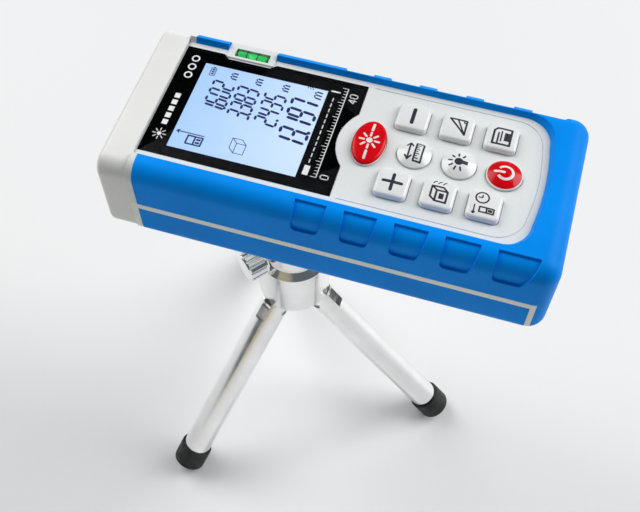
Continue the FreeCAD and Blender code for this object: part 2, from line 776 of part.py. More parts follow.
def battery_door():
    """Door over the battery bay, hinged on two stub pins beside the tripod thread."""
    hinge_z = BACK + DOOR_THICK / 2
    y = both(DOOR_HALF)
    plate = box((HINGE_X, DOOR_X[1]), y, (BACK, BACK + DOOR_THICK))
    knuckle = rod(DOOR_THICK / 2, V(HINGE_X, -DOOR_HALF, hinge_z), V(HINGE_X, DOOR_HALF, hinge_z))
    pins = rod(HINGE_PIN_R, V(HINGE_X, -13.9, hinge_z), V(HINGE_X, 13.9, hinge_z))
    door = fuse(plate, knuckle, pins)
    nail = rod(6.0, V(DOOR_X[1] - 4.0, -5.0, BACK - 5.4), V(DOOR_X[1] - 4.0, 5.0, BACK - 5.4))
    door = door.cut(nail)
    for number in range(4):
        x = DOOR_X[1] - 9.0 - 1.6 * number
        door = door.cut(box((x - 0.3, x + 0.3), (-7.0, 7.0), (BACK - 1, BACK + 0.35)))
    return door.removeSplitter()


def tripod_insert():
    """Brass insert with the camera thread, drawn as a smooth hole."""
    top = BACK + 9.0
    body = rod(INSERT_R, V(TRIPOD_X, 0, BACK), V(TRIPOD_X, 0, top))
    return body.cut(rod(STUD_R + 0.1, V(TRIPOD_X, 0, BACK - 1), V(TRIPOD_X, 0, top - 1.0)))


# ---------------------------------------------------------------- tripod

def back_height():
    return FACE_HEIGHT + BACK


def mount_pad():
    """Rubber ring between the platform and the meter."""
    ring = rod(PAD_R, V(0, 0, PLATE_Z[1]), V(0, 0, back_height()))
    return ring.cut(rod(3.6, V(0, 0, PLATE_Z[1] - 1), V(0, 0, back_height() + 1)))


def mount_plate():
    """Round platform with a bevelled underside."""
    low, high = PLATE_Z
    plate = revolve([(0, low), (PLATE_R - 2.5, low), (PLATE_R, low + 2.0), (PLATE_R, high), (0, high)])
    return plate.cut(rod(STUD_R + RUN_FIT, V(0, 0, low - 1), V(0, 0, high + 1)))


def ball_stud():
    """Ball, neck and threaded stud turned from one piece."""
    neck_r = 2.6
    ball = Part.makeSphere(BALL_R, V(0, 0, BALL_Z))
    neck = rod(neck_r, V(0, 0, BALL_Z), V(0, 0, PLATE_Z[0]))
    collar = cone(neck_r, 7.0, V(0, 0, PLATE_Z[0] - 6.0), V(0, 0, PLATE_Z[0]))
    stud = rod(STUD_R, V(0, 0, PLATE_Z[0] - 1), V(0, 0, back_height() + 6.5))
    return fuse(ball, neck, collar, stud)


def ball_socket():
    """Upper housing of the ball head; the ball goes in from below."""
    cup_r = BALL_R + RUN_FIT
    top = SOCKET_TOP
    outer = revolve([(0, SPIGOT_Z), (8.2, SPIGOT_Z), (8.2, 88.05), (SOCKET_R, 88.05),
                     (SOCKET_R, top - 0.8), (SOCKET_R - 0.8, top), (0, top)])
    outer = outer.cut(Part.makeSphere(cup_r, V(0, 0, BALL_Z)))
    outer = outer.cut(rod(cup_r, V(0, 0, SPIGOT_Z - 1), V(0, 0, BALL_Z)))
    way = knob_way()
    hole = rod(2.05, V(0, 0, KNOB_Z) + way * 6.0, V(0, 0, KNOB_Z) + way * 12.0)
    return outer.cut(hole)


def ball_seat():
    """Nylon cup that the ball rests in; it turns with the ball about the upright axis."""
    low = SPIGOT_Z + 0.4
    blank = rod(BALL_R - 0.05, V(0, 0, low), V(0, 0, BALL_Z - 4.6))
    blank = blank.cut(Part.makeSphere(BALL_R + RUN_FIT, V(0, 0, BALL_Z)))
    return blank.cut(rod(3.0, V(0, 0, low - 1), V(0, 0, BALL_Z)))


def knob_way():
    angle = math.radians(KNOB_TURN)
    return V(math.cos(angle), math.sin(angle), 0)


def lock_knob():
    """Fluted clamp knob on the side of the ball head."""
    way = knob_way()
    inner = V(0, 0, KNOB_Z) + way * KNOB_REACH[0]
    outer = V(0, 0, KNOB_Z) + way * KNOB_REACH[1]
    knob = rod(KNOB_R, inner, outer)
    knob = knob.makeChamfer(0.6, [e for e in knob.Edges if e.Closed and e.Length > 1])
    side = way.cross(UP)
    flutes = 14
    for number in range(flutes):
        angle = 2 * math.pi * number / flutes
        offset = side * (math.cos(angle) * (KNOB_R + 0.25)) + UP * (math.sin(angle) * (KNOB_R + 0.25))
        knob = knob.cut(rod(0.55, inner + offset + way * 1.2, outer + offset + way * 1.0))
    return knob.cut(rod(1.97, inner - way, inner + way * 4.0))


def lock_screw():
    """Clamp screw fixed in the knob; its tip presses the ball's seat."""
    way = knob_way()
    start = V(0, 0, KNOB_Z) + way * (BALL_R + 0.15)
    return rod(1.95, start, V(0, 0, KNOB_Z) + way * (KNOB_REACH[0] + 3.95))


def leg_lug():
    """Tongue under the hub that one leg hinges on, drawn for the leg along +X."""
    y = both(LUG_HALF)
    eye = rod(2.9, V(PIN_REACH, y[0], PIN_Z), V(PIN_REACH, y[1], PIN_Z))
    web = box((PIN_REACH - 2.9, PIN_REACH + 2.3), y, (PIN_Z, HUB_Z[0] + 1.0))
    hole = rod(PIN_R + 0.02, V(PIN_REACH, -3, PIN_Z), V(PIN_REACH, 3, PIN_Z))
    return eye.fuse(web).cut(hole)


def hub():
    """Turned hub with a seat for the ball head and a hinge tongue for each leg."""
    low, high = HUB_Z
    body = revolve([(0, low), (HUB_R - 0.5, low), (HUB_R, low + 0.5), (HUB_R, high),
                    (HUB_R - HUB_CHAMFER, high + HUB_CHAMFER), (0, high + HUB_CHAMFER)])
    body = body.cut(rod(8.25, V(0, 0, SPIGOT_Z - 0.05), V(0, 0, high + 5)))
    for _, turn in LEGS:
        body = body.fuse(turned(leg_lug(), turn))
    return body.removeSplitter()


def turned(shape, degrees):
    copy = shape.copy()
    copy.rotate(V(0, 0, 0), UP, degrees)
    return copy


def leg_pins():
    """One hinge pin for each leg, fixed in the hub's tongues."""
    pin = rod(PIN_R, V(PIN_REACH, -4.4, PIN_Z), V(PIN_REACH, 4.4, PIN_Z))
    return Part.makeCompound([turned(pin, turn) for _, turn in LEGS])


def along_leg(distance):
    """Point on the axis of the leg along +X, measured down from its pin."""
    tilt = math.radians(LEG_TILT)
    return V(PIN_REACH + distance * math.sin(tilt), 0, PIN_Z - distance * math.cos(tilt))


def leg_fork_space():
    """Slot for the hub's tongue, the pin hole and the clearance under the hub."""
    slot = box(both(LEG_R + 1), both(SLOT_HALF), (-SLOT_DEPTH, 10))
    slot.rotate(V(0, 0, 0), ALONG_Y, -LEG_TILT)
    slot.translate(V(PIN_REACH, 0, PIN_Z))
    hole = rod(PIN_R + 0.06, V(PIN_REACH, -8, PIN_Z), V(PIN_REACH, 8, PIN_Z))
    return fuse(slot, hole, above(HUB_Z[0] - 0.3))


def leg_tube():
    tube = rod(LEG_R, along_leg(LEG_TOP), along_leg(LEG_END))
    tube = tube.cut(rod(LEG_R - LEG_WALL, along_leg(LEG_TOP - 1), along_leg(LEG_END + 1)))
    return tube.cut(leg_fork_space())


def leg_fork():
    """Solid end of the leg that carries the hinge, pressed into the tube."""
    return rod(LEG_R - LEG_WALL - 0.02, along_leg(LEG_TOP), along_leg(14.0)).cut(leg_fork_space())


def leg_foot():
    """Rubber tip, worn flat where it stands on the floor."""
    start, end = FOOT_LENGTH
    foot = rod(FOOT_R, along_leg(start), along_leg(end))
    end_edges = [e for e in foot.Edges if e.Closed and e.CenterOfMass.z < along_leg(start + 3).z]
    foot = foot.makeFillet(1.0, end_edges)
    foot = foot.cut(rod(LEG_R + 0.03, along_leg(start - 1), along_leg(LEG_END + 0.03)))
    return foot.cut(below(0))


# ---------------------------------------------------------------- output

def place(shape, moved_from):
    """Moves a shape from the meter's or the tripod's own coordinates into the part's frame."""
    copy = shape.copy()
    if moved_from == "meter":
        copy.translate(V(-LENGTH / 2, 0, FACE_HEIGHT))
    else:
        copy.translate(V(TRIPOD_X - LENGTH / 2, 0, 0))
    return copy


def meter_parts():
    parts = {
        "laser_end_cap": laser_end_cap(),
        "optics_window": optics_window(),
        "front_housing": front_housing(),
        "rear_housing": rear_housing(),
        "upper_grip": upper_grip(),
        "lower_grip": lower_grip(),
        "display_lens": display_lens(),
        "lens_mask": lens_mask(),
        "lcd_panel": lcd_panel(),
        "backlight": backlight(),
        "main_board": main_board(),
        "board_screws": board_screws(),
        "shield_can": shield_can(),
        "buzzer": buzzer(),
        "keypad_mat": keypad_mat(),
        "vial": vial(),
        "vial_liquid": vial_liquid(),
        "optics_chassis": optics_chassis(),
        "chassis_screws": chassis_screws(),
        "receiver_lens": receiver_lens(),
        "laser_module": laser_module(),
        "photodiode": photodiode(),
        "sensor_board": sensor_board(),
        "sensor_ribbon": sensor_ribbon(),
        "battery_left": cell(-CELL_Y, -1),
        "battery_right": cell(CELL_Y, 1),
        "inner_contacts": contacts(BAY_X[0], 1),
        "outer_contacts": contacts(BAY_X[1], -1),
        "battery_door": battery_door(),
        "tripod_insert": tripod_insert(),
        "case_screws": case_screws(),
    }
    for name, kind, x, y in all_keys():
        parts[name] = key(kind, x, y)
    return parts


def tripod_parts():
    parts = {
        "mount_pad": mount_pad(),
        "mount_plate": mount_plate(),
        "ball_stud": ball_stud(),
        "ball_socket": ball_socket(),
        "ball_seat": ball_seat(),
        "lock_knob": lock_knob(),
        "lock_screw": lock_screw(),
        "hub": hub(),
        "leg_pins": leg_pins(),
    }
    for name, turn in LEGS:
        parts["leg_tube_" + name] = turned(leg_tube(), turn)
        parts["leg_fork_" + name] = turned(leg_fork(), turn)
        parts["leg_foot_" + name] = turned(leg_foot(), turn)
    return parts


os.makedirs("parts", exist_ok=True)
for owner, pieces in (("meter", meter_parts()), ("tripod", tripod_parts())):
    for node, solid in pieces.items():
        place(solid, owner).exportStep("parts/" + node + ".step")
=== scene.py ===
import math

import bpy
from mathutils import Matrix, Vector
from mathutils.bvhtree import BVHTree


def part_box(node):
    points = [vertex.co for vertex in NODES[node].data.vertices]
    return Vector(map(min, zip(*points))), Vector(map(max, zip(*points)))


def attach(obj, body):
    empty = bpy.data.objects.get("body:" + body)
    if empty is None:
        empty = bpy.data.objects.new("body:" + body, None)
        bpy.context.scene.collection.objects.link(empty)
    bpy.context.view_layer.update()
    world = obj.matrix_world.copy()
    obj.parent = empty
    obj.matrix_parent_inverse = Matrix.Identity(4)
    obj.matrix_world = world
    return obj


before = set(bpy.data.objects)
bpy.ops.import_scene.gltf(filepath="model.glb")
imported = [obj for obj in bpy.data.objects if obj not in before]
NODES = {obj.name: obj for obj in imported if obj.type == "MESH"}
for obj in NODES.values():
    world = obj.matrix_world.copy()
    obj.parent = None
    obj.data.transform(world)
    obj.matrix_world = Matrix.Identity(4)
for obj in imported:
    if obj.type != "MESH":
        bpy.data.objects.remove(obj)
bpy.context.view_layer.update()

# Laser distance meter on its pocket tripod. Lengths are metres; MM turns millimetres into them.
# The meter's writing reads with the keypad end nearest the reader: glyph right is +Y and glyph up is -X.

MM = 0.001

# Colours are linear RGB
BLUE = (0.0, 0.285, 0.95)
SHELL = (0.79, 0.82, 0.815)
BACK_WHITE = (0.88, 0.94, 0.86)
CAP_WHITE = (0.83, 0.835, 0.81)
KEY_WHITE = (0.84, 0.855, 0.86)
RED = (0.70, 0.001, 0.006)
INK = (0.012, 0.016, 0.028)
LCD_BLUE = (0.36, 0.60, 1.0)
LCD_PALE = (0.64, 0.80, 1.0)
SEGMENT_BLUE = (0.004, 0.014, 0.17)
GREEN = (0.012, 0.52, 0.16)
METAL = (0.93, 0.93, 0.925)
BLACK = (0.012, 0.012, 0.013)
BRASS = (0.72, 0.50, 0.20)
TIN = (0.7, 0.7, 0.68)
ZINC = (0.6, 0.61, 0.63)
STEEL = (0.5, 0.5, 0.52)
NYLON = (0.72, 0.71, 0.66)
SILICONE = (0.5, 0.5, 0.5)
FLOOR = (0.88, 0.88, 0.885)

# A Mix node's colour sockets go by number, because its names repeat
MIX_FACTOR, MIX_FIRST, MIX_SECOND, MIX_RESULT = 0, 6, 7, 2

SMOOTH_ANGLE = 24  # degrees; sharper edges keep their crease
WELD = 0.002 * MM


# ---------------------------------------------------------------- materials

class Surface:
    """One procedural material: a Principled shader with helpers for the textures that feed it."""

    def __init__(self, name, roughness=0.5, metallic=0.0):
        self.material = bpy.data.materials.new(name)
        self.material.use_nodes = True
        self.tree = self.material.node_tree
        self.shader = self.tree.nodes["Principled BSDF"]
        self.shader.inputs["Roughness"].default_value = roughness
        self.shader.inputs["Metallic"].default_value = metallic
        self.place = self.tree.nodes.new("ShaderNodeTexCoord").outputs["Object"]

    def constant(self, **values):
        """Sets the shader's own sockets, such as Coat_Weight=0.3."""
        for name, value in values.items():
            self.shader.inputs[name.replace("_", " ")].default_value = value
        return self

    def plug(self, socket, value):
        """Links a texture's output to a socket, or sets the socket to a plain value."""
        if isinstance(value, bpy.types.NodeSocket):
            self.tree.links.new(value, socket)
        else:
            socket.default_value = value

    def add(self, kind, inputs=None, **settings):
        node = self.tree.nodes.new(kind)
        for name, value in settings.items():
            setattr(node, name, value)
        for name, value in (inputs or {}).items():
            self.plug(node.inputs[name], value)
        return node

    def stretched(self, scale):
        return self.add("ShaderNodeMapping", {"Vector": self.place, "Scale": scale}).outputs["Vector"]

    def noise(self, scale, detail=3.0, vector=None):
        inputs = {"Vector": vector or self.place, "Scale": scale, "Detail": detail}
        return self.add("ShaderNodeTexNoise", inputs).outputs["Fac"]

    def cells(self, scale):
        inputs = {"Vector": self.place, "Scale": scale}
        return self.add("ShaderNodeTexVoronoi", inputs).outputs["Distance"]

    def mottle(self, scale, detail=3.0):
        """Noise spread over the whole of 0..1."""
        return self.spread(self.noise(scale, detail), 0, 1)

    def along(self, axis):
        """Place along X, Y or Z."""
        return self.add("ShaderNodeSeparateXYZ", {"Vector": self.place}).outputs[axis]

    def spread(self, value, low, high, start=0.3, end=0.7):
        """Maps the middle of a texture's range on to low..high."""
        inputs = {"Value": value, "From Min": start, "From Max": end, "To Min": low, "To Max": high}
        return self.add("ShaderNodeMapRange", inputs).outputs["Result"]

    def blend(self, factor, first, second):
        node = self.add("ShaderNodeMix", data_type="RGBA")
        self.plug(node.inputs[MIX_FACTOR], factor)
        for socket, colour in ((MIX_FIRST, first), (MIX_SECOND, second)):
            self.plug(node.inputs[socket], (*colour, 1.0) if isinstance(colour, tuple) else colour)
        return node.outputs[MIX_RESULT]

    def math(self, operation, first, second=0.0):
        return self.add("ShaderNodeMath", {0: first, 1: second}, operation=operation).outputs[0]

    def feed(self, name, value):
        self.tree.links.new(value, self.shader.inputs[name])
        return self

    def relief(self, heights, edge=0.12):
        """Bump from (height texture, depth in millimetres) pairs, on softly rounded edges."""
        normal = self.add("ShaderNodeBevel", {"Radius": edge * MM}, samples=4).outputs["Normal"]
        for height, depth in heights:
            inputs = {"Height": height, "Distance": depth * MM, "Strength": 1.0, "Normal": normal}
            normal = self.add("ShaderNodeBump", inputs).outputs["Normal"]
        return self.feed("Normal", normal)

    def worn_edges(self, width):
        """A mask that is 1 along convex edges, broken up by noise."""
        soft = self.add("ShaderNodeBevel", {"Radius": width * MM}, samples=4).outputs["Normal"]
        sharp = self.add("ShaderNodeNewGeometry").outputs["Normal"]
        turn = self.add("ShaderNodeVectorMath", {0: soft, 1: sharp}, operation="DOT_PRODUCT")
        mask = self.spread(turn.outputs["Value"], 1.0, 0.0, 0.80, 0.995)
        return self.math("MULTIPLY", mask, self.spread(self.noise(900.0), 0.2, 1.0))


def shaded(colour, factor):
    return tuple(min(1.0, c * factor) for c in colour)


def plastic(name, colour, roughness, grain=0.006, edge=0.12, drift=0.06, wear=0.25):
    """Moulded plastic: slow colour drift, spark-eroded grain, rubbed edges and uneven gloss."""
    s = Surface(name, roughness)
    drifted = s.blend(s.mottle(45.0), shaded(colour, 1 - drift), shaded(colour, 1 + drift / 2))
    mottled = s.blend(s.spread(s.noise(1400.0), 0, 0.5), drifted, shaded(colour, 0.93))
    rubbed = s.blend(s.math("MULTIPLY", s.worn_edges(0.35), wear), mottled, shaded(colour, 1.18))
    s.feed("Base Color", rubbed)
    s.feed("Roughness", s.spread(s.noise(160.0), roughness - 0.06, roughness + 0.08))
    s.relief(((s.noise(3200.0, 2.0), grain), (s.noise(90.0), grain * 2.5)), edge)
    return s


def soft_grip():
    """Blue overmoulded elastomer: fine pebbled grain, bright speckle and a slightly greasy sheen."""
    s = Surface("soft_grip_blue", 0.42)
    drifted = s.blend(s.mottle(38.0), shaded(BLUE, 0.90), shaded(BLUE, 1.05))
    speckle = s.spread(s.cells(2600.0), 0.35, 0.0, 0.0, 0.35)
    speckled = s.blend(speckle, drifted, (0.004, 0.31, 0.98))
    dusty = s.blend(s.spread(s.noise(240.0, 6.0), 0.0, 0.01, 0.55, 0.8), speckled, (0.35, 0.5, 0.7))
    worn = s.blend(s.math("MULTIPLY", s.worn_edges(0.5), 0.22), dusty, (0.03, 0.42, 0.99))
    s.feed("Base Color", worn)
    s.feed("Roughness", s.spread(s.noise(130.0), 0.36, 0.50))
    s.relief(((s.cells(2600.0), 0.014), (s.noise(1100.0), 0.012), (s.noise(60.0), 0.02)), 0.25)
    return s.constant(Specular_IOR_Level=0.05)


def key_plastic():
    return plastic("key_white", KEY_WHITE, 0.24, 0.002, 0.25, 0.03, 0.1).constant(Coat_Weight=0.35)


RED_DEPTH = 1.15 * MM
RED_BLUR = 0.03 * MM


def red_key_plastic(node):
    """Red cap over a white key: the colour changes part of the way up the sloping side."""
    s = Surface(node + "_red_over_white", 0.2)
    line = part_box(node)[1].z - RED_DEPTH
    red = s.spread(s.along("Z"), 0.0, 1.0, line - RED_BLUR, line + RED_BLUR)
    mottled = s.blend(s.mottle(120.0), shaded(RED, 0.88), shaded(RED, 1.06))
    s.feed("Base Color", s.blend(red, KEY_WHITE, mottled))
    s.feed("Roughness", s.spread(s.noise(200.0), 0.15, 0.26))
    s.relief(((s.noise(500.0), 0.004),), 0.25)
    return s.constant(Coat_Weight=0.06, Coat_Roughness=0.06, Specular_IOR_Level=0.2)


def ink(name, colour, roughness=0.5):
    """Printed ink, slightly uneven."""
    s = Surface(name, roughness)
    s.feed("Base Color", s.blend(s.mottle(900.0), shaded(colour, 0.85), shaded(colour, 1.1)))
    s.feed("Roughness", s.spread(s.noise(700.0), roughness - 0.08, roughness + 0.08))
    return s


PIXEL_WEAVE = 16000.0  # radians to the metre


def lcd_glass():
    """Backlit liquid crystal panel: brighter towards one edge, with a fine pixel weave."""
    low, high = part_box("lcd_panel")
    s = Surface("lcd_pale_blue", 0.35)
    glow = s.blend(s.spread(s.along("X"), 0.0, 1.0, low.x, high.x), LCD_BLUE, LCD_PALE)
    cloudy = s.blend(s.spread(s.noise(55.0), 0, 0.25), glow, LCD_PALE)
    weave = s.math("MULTIPLY", s.math("SINE", s.math("MULTIPLY", s.along("Y"), PIXEL_WEAVE)), 0.04)
    s.feed("Base Color", s.blend(0.75, cloudy, (0.02, 0.03, 0.05)))
    s.feed("Emission Color", s.blend(weave, cloudy, (1.0, 1.0, 1.0)))
    s.relief(((s.noise(2200.0), 0.002),))
    return s.constant(Emission_Strength=0.86)


def black_film():
    s = Surface("black_print", 0.25)
    s.feed("Base Color", s.blend(s.mottle(300.0), (0.004, 0.004, 0.005), (0.009, 0.009, 0.011)))
    s.relief(((s.noise(1500.0), 0.001),))
    return s.constant(Specular_IOR_Level=0.1)


def clear(name, tint, ior=1.46, roughness=0.02):
    """Clear moulding or glass with faint smears in its gloss."""
    s = Surface(name, roughness)
    s.feed("Roughness", s.spread(s.noise(70.0, 5.0), roughness * 0.5, roughness + 0.05, 0.45, 0.8))
    s.feed("Base Color", s.blend(s.mottle(25.0), shaded(tint, 0.98), tint))
    s.relief(((s.noise(35.0), 0.002),), 0.08)
    return s.constant(Transmission_Weight=1.0, IOR=ior)


def vial_liquid():
    """Yellow-green spirit with a painted glow: a little emission brightens it, though it is no lamp."""
    s = Surface("vial_green", 0.08)
    shade = s.blend(s.mottle(180.0), shaded(GREEN, 0.8), (0.06, 0.70, 0.16))
    s.feed("Base Color", shade)
    # Painted glow: the spirit emits in its own tone, which is not light from any lamp.
    s.feed("Emission Color", shade)
    s.relief(((s.noise(300.0), 0.003),))
    return s.constant(Emission_Strength=0.5, Transmission_Weight=0.25)


def turned_metal(name, colour, roughness, rings=(0.0, 0.0, 1.0), edge=0.15, marks=0.003):
    """Polished metal with fine turning marks across the given axis, small dents and cloudy gloss."""
    s = Surface(name, roughness, 1.0)
    fine = s.noise(9000.0, 2.0, s.stretched(tuple(0.02 + 0.98 * r for r in rings)))
    cloud = s.noise(120.0, 4.0)
    drift = s.blend(s.spread(cloud, 0, 1), shaded(colour, 0.93), shaded(colour, 1.04))
    s.feed("Base Color", s.blend(s.spread(fine, 0.0, 0.25), drift, shaded(colour, 0.8)))
    gloss = s.spread(cloud, roughness - 0.03, roughness + 0.05)
    s.feed("Roughness", s.math("ADD", s.spread(fine, -0.03, 0.05), gloss))
    s.relief(((fine, marks), (s.noise(60.0), 0.01)), edge)
    return s


def black_rubber():
    s = Surface("black_rubber", 0.62)
    s.feed("Base Color", s.blend(s.mottle(350.0, 6.0), shaded(BLACK, 0.6), shaded(BLACK, 1.4)))
    s.feed("Roughness", s.spread(s.noise(500.0), 0.5, 0.72))
    s.relief(((s.noise(1600.0), 0.03), (s.noise(240.0), 0.05)), 0.3)
    return s


def circuit_board():
    """Green solder mask with buried copper tracks."""
    s = Surface("solder_mask", 0.35)
    tracks = s.spread(s.noise(500.0, 1.0, s.stretched((0.35, 1.6, 1.0))), 0, 1, 0.48, 0.52)
    s.feed("Base Color", s.blend(tracks, (0.01, 0.10, 0.035), (0.02, 0.19, 0.06)))
    s.relief(((tracks, 0.02), (s.noise(1500.0), 0.004)))
    return s


COPPER_BAND = 11 * MM


def cell_jacket():
    """Plain two-tone battery jacket: dark sleeve with a copper-coloured end."""
    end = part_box("battery_left")[1].x
    s = Surface("cell_jacket", 0.3)
    band = s.spread(s.along("X"), 0, 1, end - COPPER_BAND, end - COPPER_BAND + 0.2 * MM)
    s.feed("Base Color", s.blend(band, (0.02, 0.022, 0.025), (0.62, 0.33, 0.12)))
    s.feed("Metallic", s.spread(band, 0.2, 0.8, 0, 1))
    s.relief(((s.noise(400.0), 0.006),))
    return s


def floor_paper():
    s = Surface("pale_floor", 0.6)
    s.feed("Base Color", s.blend(s.mottle(3.0), shaded(FLOOR, 0.985), FLOOR))
    s.relief(((s.noise(900.0), 0.01),), 0.01)
    return s


# ---------------------------------------------------------------- carried-over CAD nodes

def smooth_by_angle():
    """Node group that welds a mesh and shades it smooth except across sharp edges."""
    group = bpy.data.node_groups.new("smooth_by_angle", "GeometryNodeTree")
    group.interface.new_socket("Geometry", in_out="INPUT", socket_type="NodeSocketGeometry")
    group.interface.new_socket("Geometry", in_out="OUTPUT", socket_type="NodeSocketGeometry")
    entry = group.nodes.new("NodeGroupInput")
    leave = group.nodes.new("NodeGroupOutput")
    weld = group.nodes.new("GeometryNodeMergeByDistance")
    weld.inputs["Distance"].default_value = WELD
    faces = group.nodes.new("GeometryNodeSetShadeSmooth")
    edges = group.nodes.new("GeometryNodeSetShadeSmooth")
    edges.domain = "EDGE"
    angle = group.nodes.new("GeometryNodeInputMeshEdgeAngle")
    small = group.nodes.new("FunctionNodeCompare")
    small.operation = "LESS_THAN"
    small.inputs["B"].default_value = math.radians(SMOOTH_ANGLE)
    links = group.links
    links.new(entry.outputs[0], weld.inputs["Geometry"])
    links.new(weld.outputs[0], faces.inputs["Geometry"])
    links.new(faces.outputs[0], edges.inputs["Geometry"])
    links.new(angle.outputs["Unsigned Angle"], small.inputs["A"])
    links.new(small.outputs[0], edges.inputs["Shade Smooth"])
    links.new(edges.outputs[0], leave.inputs[0])
    return group


def dress(surface, *names):
    """Gives CAD nodes a material and smooth shading."""
    for name in names:
        node = NODES[name]
        if "custom_normal" in node.data.attributes:
            node.data.attributes.remove(node.data.attributes["custom_normal"])
        node.data.materials.clear()
        node.data.materials.append(surface.material)
        modifier = node.modifiers.new("smooth", "NODES")
        modifier.node_group = SMOOTH


SMOOTH = smooth_by_angle()

KEYS = [name for name in NODES if name.endswith("_key")]
RED_KEYS = ("measure_key", "clear_key")
WHITE_KEYS = [name for name in KEYS if name not in RED_KEYS]


def legs(kind):
    return [name for name in NODES if name.startswith("leg_" + kind)]


def dress_meter():
    dress(soft_grip(), "upper_grip", "lower_grip")
    dress(plastic("shell_light_grey", SHELL, 0.38), "front_housing")
    dress(plastic("back_shell_white", BACK_WHITE, 0.38), "rear_housing", "battery_door")
    dress(plastic("cap_light_grey", CAP_WHITE, 0.36), "laser_end_cap")
    dress(key_plastic(), *WHITE_KEYS)
    for name in RED_KEYS:
        dress(red_key_plastic(name), name)
    dress(clear("display_lens_clear", (0.98, 0.99, 1.0), 1.22), "display_lens")
    dress(black_film(), "lens_mask")
    dress(lcd_glass(), "lcd_panel")
    dress(plastic("light_guide_milky", (0.75, 0.8, 0.88), 0.4), "backlight")
    dress(circuit_board(), "main_board", "sensor_board")
    dress(plastic("silicone_grey", SILICONE, 0.55), "keypad_mat")
    black = plastic("black_moulded", BLACK, 0.45)
    dress(black, "optics_chassis", "buzzer", "photodiode", "sensor_ribbon")
    dress(turned_metal("tinned_sheet", TIN, 0.3), "shield_can", "inner_contacts", "outer_contacts")
    dress(turned_metal("zinc_steel", ZINC, 0.28), "case_screws", "board_screws", "chassis_screws")
    dress(turned_metal("turned_brass", BRASS, 0.22), "tripod_insert")
    dress(turned_metal("laser_brass", BRASS, 0.22, (1.0, 0.0, 0.0)), "laser_module")
    dress(clear("receiver_glass", (0.93, 0.97, 1.0), 1.52), "receiver_lens")
    dress(clear("window_filter", (0.55, 0.20, 0.26)), "optics_window")
    dress(clear("vial_clear", (0.94, 1.0, 0.96)), "vial")
    dress(vial_liquid(), "vial_liquid")
    dress(cell_jacket(), "battery_left", "battery_right")


def dress_tripod():
    dress(black_rubber(), "mount_pad", *legs("foot_"))
    polished = turned_metal("polished_aluminium", METAL, 0.13)
    dress(polished, "hub", "ball_socket", "mount_plate", "lock_knob")
    dress(turned_metal("polished_tube", METAL, 0.12), *legs("tube_"))
    dress(turned_metal("turned_aluminium", shaded(METAL, 0.9), 0.2), "ball_stud", *legs("fork_"))
    dress(turned_metal("pin_steel", STEEL, 0.25), "leg_pins", "lock_screw")
    dress(plastic("nylon", NYLON, 0.4), "ball_seat")


# ---------------------------------------------------------------- flat prints

def mesh_piece(name, points, faces, surface):
    """A new object in the scene from points, faces and one material."""
    mesh = bpy.data.meshes.new(name)
    mesh.from_pydata(points, [], faces)
    mesh.materials.append(surface.material)
    piece = bpy.data.objects.new(name, mesh)
    bpy.context.scene.collection.objects.link(piece)
    return piece


